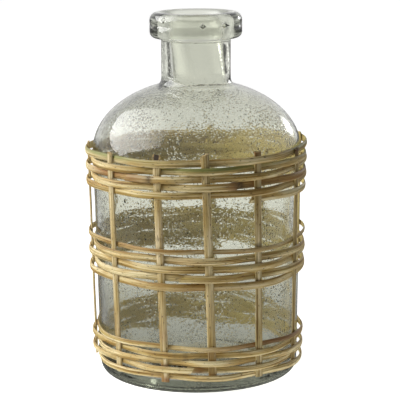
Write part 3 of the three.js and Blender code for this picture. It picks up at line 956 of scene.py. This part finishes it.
def wander(along, number, lane, depth, length):
    """A smooth random value along a numbered piece of cane, up to a depth either way."""
    return depth * noise.noise(Vector((along / length, 17.3 * (lane + number), 4.1)))


def path_piece(name, points, outward, scale, marks, places, offset):
    """A path as a mesh of edges, with what the cane needs to know at each of its points. Millimetres."""
    mesh = bpy.data.meshes.new(name + "_path")
    mesh.from_pydata([p * MM for p in points], [(i, i + 1) for i in range(len(points) - 1)], [])
    last = len(points) - 1
    forward = [(points[min(i + 1, last)] - points[max(i - 1, 0)]).normalized() for i in range(last + 1)]
    square = [(out - ahead * out.dot(ahead)).normalized() for out, ahead in zip(outward, forward)]
    for label, vectors in (("outward", square), ("forward", forward)):
        layer = mesh.attributes.new(label, "FLOAT_VECTOR", "POINT")
        layer.data.foreach_set("vector", [c for v in vectors for c in v])
    travel = np.cumsum([0.0] + [(b - a).length for a, b in zip(points, points[1:])]) * MM
    traits = {kind: [marked(marks, kind, place) for place in places] for kind in MARK_KINDS}
    traits["scale"] = scale
    traits["from_start"] = list(travel)
    traits["to_end"] = list(travel[-1] - travel)
    traits["along"] = list(travel + offset)
    store(mesh, traits)
    return new_piece(name, mesh)


def weaver_path(name, strand, number):
    """The path of a strand, with the small wander of real cane."""
    count = max(2, round((strand.end - strand.start) * WEAVER_STEPS))
    places = np.linspace(strand.start, strand.end, count + 1)
    points, outward, scale = [], [], []
    for place in places:
        angle = strand.angle_at(place)
        along = angle * BODY_RADIUS
        height = strand.height_at(angle) + wander(along, number, *WEAVER_WANDER)
        points.append(on_circle(angle, strand.radius_at(place), height))
        roll = wander(along, number, *WEAVER_ROLL)
        out = on_circle(angle, 1.0, 0.0)
        outward.append(out * math.cos(roll) + Vector((0, 0, math.sin(roll))))
        breadth = strand.width_at(place) / strand.width
        breadth *= 1 + BACK_SPREAD * smoothstep(-math.cos(angle), *BACK_SPAN)
        scale.append(breadth * (1 + wander(along, number, *WEAVER_SWELL)))
    marks = WEAVER_MARKS.get(name, {})
    first, step = WEAVER_GRAIN
    return path_piece(name + "_cane", points, outward, scale, marks, places, first + step * number)


def stake_path(number, sleeve):
    """The path of a stake, from its foot to its top."""
    longer, deeper = ALL_STAKES[number][2:4]
    heights = np.linspace(STAKE_FOOT - deeper, STAKE_TOP + longer, STAKE_STEPS + 1)
    points, outward, scale = [], [], []
    for height in heights:
        angle = stake_angle(number, height)
        angle += wander(height, number, *STAKE_WANDER)
        radius = sleeve.stake_inner(height) + sleeve.stake_thickness / 2
        points.append(on_circle(angle, radius, height))
        turn = angle + wander(height, number, *STAKE_ROLL)
        outward.append(on_circle(turn, 1.0, 0.0))
        scale.append(1 + wander(height, number, *STAKE_SWELL))
    marks = STAKE_MARKS.get(number, {})
    name = f"stake_{number + 1:02d}_cane"
    first, step = STAKE_GRAIN
    return path_piece(name, points, outward, scale, marks, heights, first + step * number)


class BottleGlassSettings(bpy.types.PropertyGroup):
    """Sizes and colours of the glass."""

    height: FloatProperty(
        name="Height", description="Height of the bottle", default=CAD_HIGH.z - CAD_LOW.z, unit="LENGTH"
    )
    wall: FloatProperty(
        name="Wall", description="Thickness of the body's wall", default=3.2 * MM, unit="LENGTH"
    )
    tint: FloatVectorProperty(
        name="Tint",
        description="Share of light that a wall lets through",
        subtype="COLOR",
        default=linear("#f7f8ef")[:3],
        min=0.0,
        max=1.0,
    )
    deep_tint: FloatVectorProperty(
        name="Deep tint",
        description="Colour of light that has gone deep through the glass",
        subtype="COLOR",
        default=linear("#98a07f")[:3],
        min=0.0,
        max=1.0,
    )
    absorption: FloatProperty(
        name="Absorption", description="How quickly the glass darkens, per metre", default=11.0, min=0.0
    )
    wave: FloatProperty(
        name="Wave", description="Length of the fine waves in the surface", default=4.5 * MM, unit="LENGTH"
    )
    wave_depth: FloatProperty(
        name="Wave depth", description="Depth of the fine waves", default=0.16 * MM, unit="LENGTH"
    )
    seeds: FloatProperty(
        name="Seeds", description="Bubbles per square metre of wall", default=95000.0, min=0.0
    )
    seed_radius: FloatProperty(
        name="Seed radius", description="Radius of the smallest bubbles", default=0.3 * MM, unit="LENGTH"
    )
    seed_growth: FloatProperty(
        name="Seed growth", description="How much larger the largest seeds are", default=1.0, min=0.0
    )
    bubbles: FloatProperty(
        name="Bubbles", description="Large bubbles per square metre of wall", default=1500.0, min=0.0
    )
    bubble_radius: FloatProperty(
        name="Bubble radius", description="Least radius of large bubbles", default=0.6 * MM, unit="LENGTH"
    )


class RattanSettings(bpy.types.PropertyGroup):
    """Sizes and colours of the cane."""

    stake_width: FloatProperty(
        name="Stake width", description="Width of an upright stake", default=5.6 * MM, unit="LENGTH"
    )
    stake_thickness: FloatProperty(
        name="Stake thickness", description="Thickness of a stake", default=1.5 * MM, unit="LENGTH"
    )
    weaver_thickness: FloatProperty(
        name="Weaver thickness", description="Thickness of a woven strand", default=1.4 * MM, unit="LENGTH"
    )
    pith: FloatVectorProperty(
        name="Pith", description="Cane without its skin", subtype="COLOR", default=linear("#d8c08e")[:3]
    )
    green: FloatVectorProperty(
        name="Green", description="Cane that dried green", subtype="COLOR", default=linear("#7c7c40")[:3]
    )
    brown: FloatVectorProperty(
        name="Brown", description="Cane that is weathered", subtype="COLOR", default=linear("#84592c")[:3]
    )
    dark: FloatVectorProperty(
        name="Dark", description="Nodes and scars", subtype="COLOR", default=linear("#33271a")[:3]
    )


class StageSettings(bpy.types.PropertyGroup):
    """The floor, the light and the camera."""

    floor: FloatVectorProperty(
        name="Floor", description="Colour of the floor", subtype="COLOR", default=linear("#e9e9e5")[:3]
    )
    softbox: FloatProperty(
        name="Softbox", description="Power of the lamp that shines in the glass", default=47.0, unit="POWER"
    )
    key: FloatProperty(
        name="Key", description="Power of the lamp that lights the cane", default=16.0, unit="POWER"
    )
    window: FloatProperty(
        name="Window", description="Power of the small lamp on the right", default=6.0, unit="POWER"
    )
    strip: FloatProperty(
        name="Strip", description="Power of the lamp seen through the neck", default=0.22, unit="POWER"
    )
    ambient: FloatProperty(name="Ambient", description="Light from all round", default=0.1, min=0.0)
    backlight: FloatProperty(
        name="Backlight", description="Brightness of the floor through the glass", default=0.93, min=0.0
    )
    glow: FloatProperty(
        name="Glow", description="Brightness added to the floor as it lights the cane", default=1.0, min=0.0
    )
    white: FloatProperty(
        name="White", description="Brightness added to the floor in view", default=0.85, min=0.0
    )
    mirrored: FloatProperty(
        name="Mirrored", description="Brightness of the floor mirrored in the glass", default=0.2, min=0.0
    )


class BOTTLE_OT_glass(bpy.types.Operator):
    """Blows the glass bottle, with the seeds in its wall"""

    bl_idname = "bottle.glass"
    bl_label = "Glass bottle"

    def execute(self, context):
        settings = context.scene.bottle_glass
        points, faces, traits = turned_glass(settings)
        mesh = bpy.data.meshes.new("glass_bottle_blown")
        mesh.from_pydata(points, [], faces)
        mesh.shade_smooth()
        store(mesh, traits)
        material = seeded_glass(settings)
        mesh.materials.append(material)
        piece = new_piece("glass_bottle_blown", mesh)
        tree = seeds_tree()
        values = {
            "Seeds per square metre": settings.seeds,
            "Cloud size": CLOUD_SIZE * MM,
            "Least radius": settings.seed_radius,
            "Growth": settings.seed_growth,
            "Least depth": 0.2,
            "Segments": 4,
            "Rings": 2,
            "Seed": 11,
            "Material": material,
        }
        made_plain(piece, tree, values)
        values |= {
            "Seeds per square metre": settings.bubbles,
            "Least radius": settings.bubble_radius,
            "Least depth": 0.4,
            "Segments": 10,
            "Rings": 6,
            "Seed": 23,
        }
        made_plain(piece, tree, values)
        piece.data.materials.clear()
        piece.data.materials.append(material)
        piece.data.polygons.foreach_set("material_index", [0] * len(piece.data.polygons))
        settle(piece, "glass_bottle")
        return {"FINISHED"}


def cane_kit(settings, name, tones):
    """The node tree that sweeps cane of one kind, and what all its pieces share."""
    skin = cane_material(settings, name, *tones)
    cut = cut_end_material(settings)
    return cane_tree(), {"Section points": SECTION_POINTS, "Skin": skin, "Cut end": cut}


class BOTTLE_OT_stakes(bpy.types.Operator):
    """Stands the upright stakes round the glass"""

    bl_idname = "bottle.stakes"
    bl_label = "Rattan stakes"

    def execute(self, context):
        settings = context.scene.bottle_rattan
        sleeve = Sleeve(settings)
        tree, shared = cane_kit(settings, "Split rattan, stakes", STAKE_TONES)
        for number, stake in enumerate(ALL_STAKES):
            piece = stake_path(number, sleeve)
            values = {
                "Width": settings.stake_width,
                "Thickness": settings.stake_thickness,
                "End slant": stake[4] * MM,
                "End bevel": stake[5] * MM,
            }
            made_plain(piece, tree, shared | values)
            settle(piece, f"stake_{number + 1:02d}")
        return {"FINISHED"}


class BOTTLE_OT_weavers(bpy.types.Operator):
    """Weaves the three bands round the stakes"""

    bl_idname = "bottle.weavers"
    bl_label = "Rattan weavers"

    def execute(self, context):
        settings = context.scene.bottle_rattan
        sleeve = Sleeve(settings)
        tree, shared = cane_kit(settings, "Split rattan, weavers", WEAVER_TONES)
        for number, (name, strand) in enumerate(strand_list(sleeve).items()):
            piece = weaver_path(name, strand, number)
            values = {
                "Width": strand.width * MM,
                "Thickness": settings.weaver_thickness,
                "Start slant": WEAVER_START_SLANT * MM,
                "End slant": WEAVER_END_SLANT * MM,
            }
            made_plain(piece, tree, shared | values)
            settle(piece, name)
        return {"FINISHED"}


def paper_material(settings):
    """A wide sweep of pale matt paper that also glows, as bright as suits each kind of ray that meets it:
    white in view, dim in the glass's reflections, and through the glass with a painted shadow near and in
    front of the bottle and painted light and dark bands to the side. Round the bottle a painted pool of
    light glows on it and lights the cane.
    """
    material, tree = new_material("Pale paper sweep")
    place = add_node(tree, "ShaderNodeTexCoord").outputs["Object"]
    parts = add_node(tree, "ShaderNodeSeparateXYZ", {0: place}).outputs
    away = add_node(tree, "ShaderNodeVectorMath", {0: place}, operation="LENGTH").outputs["Value"]
    aside, aback = (
        add_node(tree, "ShaderNodeMath", {0: parts[i], 1: away}, operation="DIVIDE") for i in (0, 1)
    )
    far, near = (
        add_node(tree, "ShaderNodeMapRange", {"Value": away, "From Min": low, "From Max": high})
        for low, high in (FAR_PAPER, NEAR_PAPER)
    )
    # The paper seen through the glass gets its painted shadow near and in front of the bottle and its
    # painted light and dark bands to the side
    # A ramp holds no more than 1, so each holds half the brightness
    seen = settings.backlight
    for source, low, stops, share in (
        (away, 0.0, PAPER_SHADOW_BY_DISTANCE, 1.0),
        (aside, -1.0, PAPER_BANDS_TO_SIDE, far),
        (aback, -1.0, PAPER_SHADOW_TO_BACK, near),
    ):
        place = add_node(tree, "ShaderNodeMapRange", {"Value": source, "From Min": low, "From Max": 1.0})
        ramp = add_node(tree, "ShaderNodeValToRGB", {"Fac": place})
        set_stops(ramp, greys(stops, low, 1.0, 0.5))
        shade = add_node(tree, "ShaderNodeMix", {0: share, 2: 0.5, 3: ramp}, data_type="FLOAT")
        for other in (2.0, seen):
            shade = add_node(tree, "ShaderNodeMath", {0: shade, 1: other}, operation="MULTIPLY")
        seen = shade
    # A painted pool of light: the paper glows round the bottle so that it lights the cane
    near_by, far_off = POOL
    pooled = {"Value": away, "From Min": near_by, "From Max": far_off}
    pooled |= {"To Min": settings.glow, "To Max": POOL_FAR * settings.glow}
    pool = add_node(tree, "ShaderNodeMapRange", pooled)
    matt = {"Base Color": (*settings.floor, 1.0), "Roughness": 0.9}
    paper = add_node(tree, "ShaderNodeBsdfPrincipled", matt)
    glow, dim, behind, white = (
        add_node(tree, "ShaderNodeEmission", {"Color": WHITE, "Strength": strength})
        for strength in (pool, settings.mirrored, seen, settings.white)
    )
    shown = add_node(tree, "ShaderNodeAddShader", {0: paper, 1: glow})
    clean = add_node(tree, "ShaderNodeAddShader", {0: paper, 1: white})
    path = add_node(tree, "ShaderNodeLightPath").outputs
    for ray, shader in (("Is Glossy Ray", dim), ("Is Transmission Ray", behind), ("Is Camera Ray", clean)):
        shown = add_node(tree, "ShaderNodeMixShader", {0: path[ray], 1: shown, 2: shader})
    add_node(tree, "ShaderNodeOutputMaterial", {"Surface": shown})
    return material


def studio_world(settings):
    """The studio is bright behind and above the bottle and dim in front. Through the glass it is dim
    overhead, and low down at the sides."""
    world = bpy.data.worlds.new("Soft studio")
    world.use_nodes = True
    tree = world.node_tree
    tree.nodes.clear()
    way = add_node(tree, "ShaderNodeTexCoord").outputs["Generated"]
    parts = add_node(tree, "ShaderNodeSeparateXYZ", {0: way}).outputs
    height = add_node(tree, "ShaderNodeMath", {0: parts[1], 1: parts[2]}, operation="ADD")
    (low, dim), (high, bright) = SKY_FADE
    faded = {"Value": height, "From Min": low, "From Max": high, "To Min": dim, "To Max": bright}
    fade = add_node(tree, "ShaderNodeMapRange", faded)
    aside = add_node(tree, "ShaderNodeMath", {0: parts[0]}, operation="ABSOLUTE")
    dropped = {0: parts[2], 1: SKY_DROP, 2: aside}
    level = add_node(tree, "ShaderNodeMath", dropped, operation="MULTIPLY_ADD")
    low, high = SKY_RANGE
    place = add_node(tree, "ShaderNodeMapRange", {"Value": level, "From Min": low, "From Max": high})
    through = add_node(tree, "ShaderNodeValToRGB", {"Fac": place})
    set_stops(through, greys(SKY_TO_SIDE, low, high))
    path = add_node(tree, "ShaderNodeLightPath").outputs
    shown = add_node(tree, "ShaderNodeBackground", {"Color": WHITE, "Strength": fade})
    for ray, strength in (
        ("Is Transmission Ray", through),
        ("Diffuse Depth", settings.ambient),
        ("Is Camera Ray", SKY_IN_VIEW),
    ):
        plain = add_node(tree, "ShaderNodeBackground", {"Color": WHITE, "Strength": strength})
        shown = add_node(tree, "ShaderNodeMixShader", {0: path[ray], 1: shown, 2: plain})
    add_node(tree, "ShaderNodeOutputWorld", {"Surface": shown})
    return world


def aimed(name, data, location, target, roll):
    """A lamp or camera that looks at a target, turned about its aim."""
    thing = new_piece(name, data)
    thing.location = location
    aim = Vector(target) - Vector(location)
    thing.rotation_euler = aim.to_track_quat("-Z", "Y").to_euler()
    thing.rotation_euler.rotate_axis("Z", roll)
    return thing


def lamp(name, power, size, location, rays, roll, fade):
    """A soft rectangular lamp, aimed at the bottle. It lights the kinds of ray that are named. A fade is
    its brightest spot, and how near and how far from there it dims to nothing."""
    data = bpy.data.lights.new(name, "AREA")
    data.energy = power
    data.shape = "RECTANGLE"
    data.size, data.size_y = size
    if fade:
        middle, near, far = fade
        data.use_nodes = True
        tree = data.node_tree
        spot = add_node(tree, "ShaderNodeNewGeometry").outputs["Parametric"]
        apart = add_node(tree, "ShaderNodeVectorMath", {0: spot, 1: (*middle, 0.0)}, operation="DISTANCE")
        faded = {"Value": apart.outputs["Value"], "From Min": near, "From Max": far}
        faded |= {"To Min": 1.0, "To Max": 0.0}
        glow = add_node(tree, "ShaderNodeMapRange", faded, interpolation_type="SMOOTHSTEP")
        tree.links.new(glow.outputs[0], tree.nodes["Emission"].inputs["Strength"])
    light = aimed(name, data, location, LAMP_TARGET, math.radians(roll))
    light.visible_camera = False
    for ray in ("diffuse", "glossy", "transmission"):
        setattr(light, "visible_" + ray, ray in rays)


class BOTTLE_OT_stage(bpy.types.Operator):
    """Sets the floor, the lamps and the camera"""

    bl_idname = "bottle.stage"
    bl_label = "Stage"

    def execute(self, context):
        settings = context.scene.bottle_stage
        mesh = bpy.data.meshes.new("floor")
        corners = [(x * FLOOR_HALF, y * FLOOR_HALF, 0) for x, y in ((-1, -1), (1, -1), (1, 1), (-1, 1))]
        mesh.from_pydata(corners, [], [(0, 1, 2, 3)])
        mesh.materials.append(paper_material(settings))
        floor = new_piece("floor", mesh)
        floor.location.z = CAD_LOW.z - FLOOR_GAP
        context.scene.world = studio_world(settings)
        for name, traits in LAMPS.items():
            lamp(name, getattr(settings, name), *traits)

        data = bpy.data.cameras.new("camera")
        data.sensor_width = CAMERA_SENSOR
        data.lens = CAMERA_LENS
        data.clip_start, data.clip_end = CAMERA_REACH
        context.scene.camera = aimed("camera", data, CAMERA_PLACE, CAMERA_TARGET, CAMERA_ROLL)
        context.scene.view_settings.view_transform = "Standard"
        return {"FINISHED"}


class BOTTLE_PT_panel(bpy.types.Panel):
    """Lists the pieces of the bottle and their settings"""

    bl_idname = "BOTTLE_PT_panel"
    bl_label = "Rattan wrapped bottle"
    bl_space_type = "VIEW_3D"
    bl_region_type = "UI"
    bl_category = "Bottle"

    def draw(self, context):
        for operator, group in (
            (BOTTLE_OT_glass, "bottle_glass"),
            (BOTTLE_OT_stakes, "bottle_rattan"),
            (BOTTLE_OT_weavers, None),
            (BOTTLE_OT_stage, "bottle_stage"),
        ):
            box = self.layout.box()
            box.operator(operator.bl_idname)
            if group:
                settings = getattr(context.scene, group)
                for name in settings.__annotations__:
                    box.prop(settings, name)


CLASSES = (
    BottleGlassSettings,
    RattanSettings,
    StageSettings,
    BOTTLE_OT_glass,
    BOTTLE_OT_stakes,
    BOTTLE_OT_weavers,
    BOTTLE_OT_stage,
    BOTTLE_PT_panel,
)


def register():
    for cls in CLASSES:
        bpy.utils.register_class(cls)
    bpy.types.Scene.bottle_glass = PointerProperty(type=BottleGlassSettings)
    bpy.types.Scene.bottle_rattan = PointerProperty(type=RattanSettings)
    bpy.types.Scene.bottle_stage = PointerProperty(type=StageSettings)


def unregister():
    del bpy.types.Scene.bottle_stage
    del bpy.types.Scene.bottle_rattan
    del bpy.types.Scene.bottle_glass
    for cls in reversed(CLASSES):
        bpy.utils.unregister_class(cls)


def main():
    register()
    bpy.ops.bottle.glass()
    bpy.ops.bottle.stakes()
    bpy.ops.bottle.weavers()
    bpy.ops.bottle.stage()


if __name__ == "__main__":
    main()
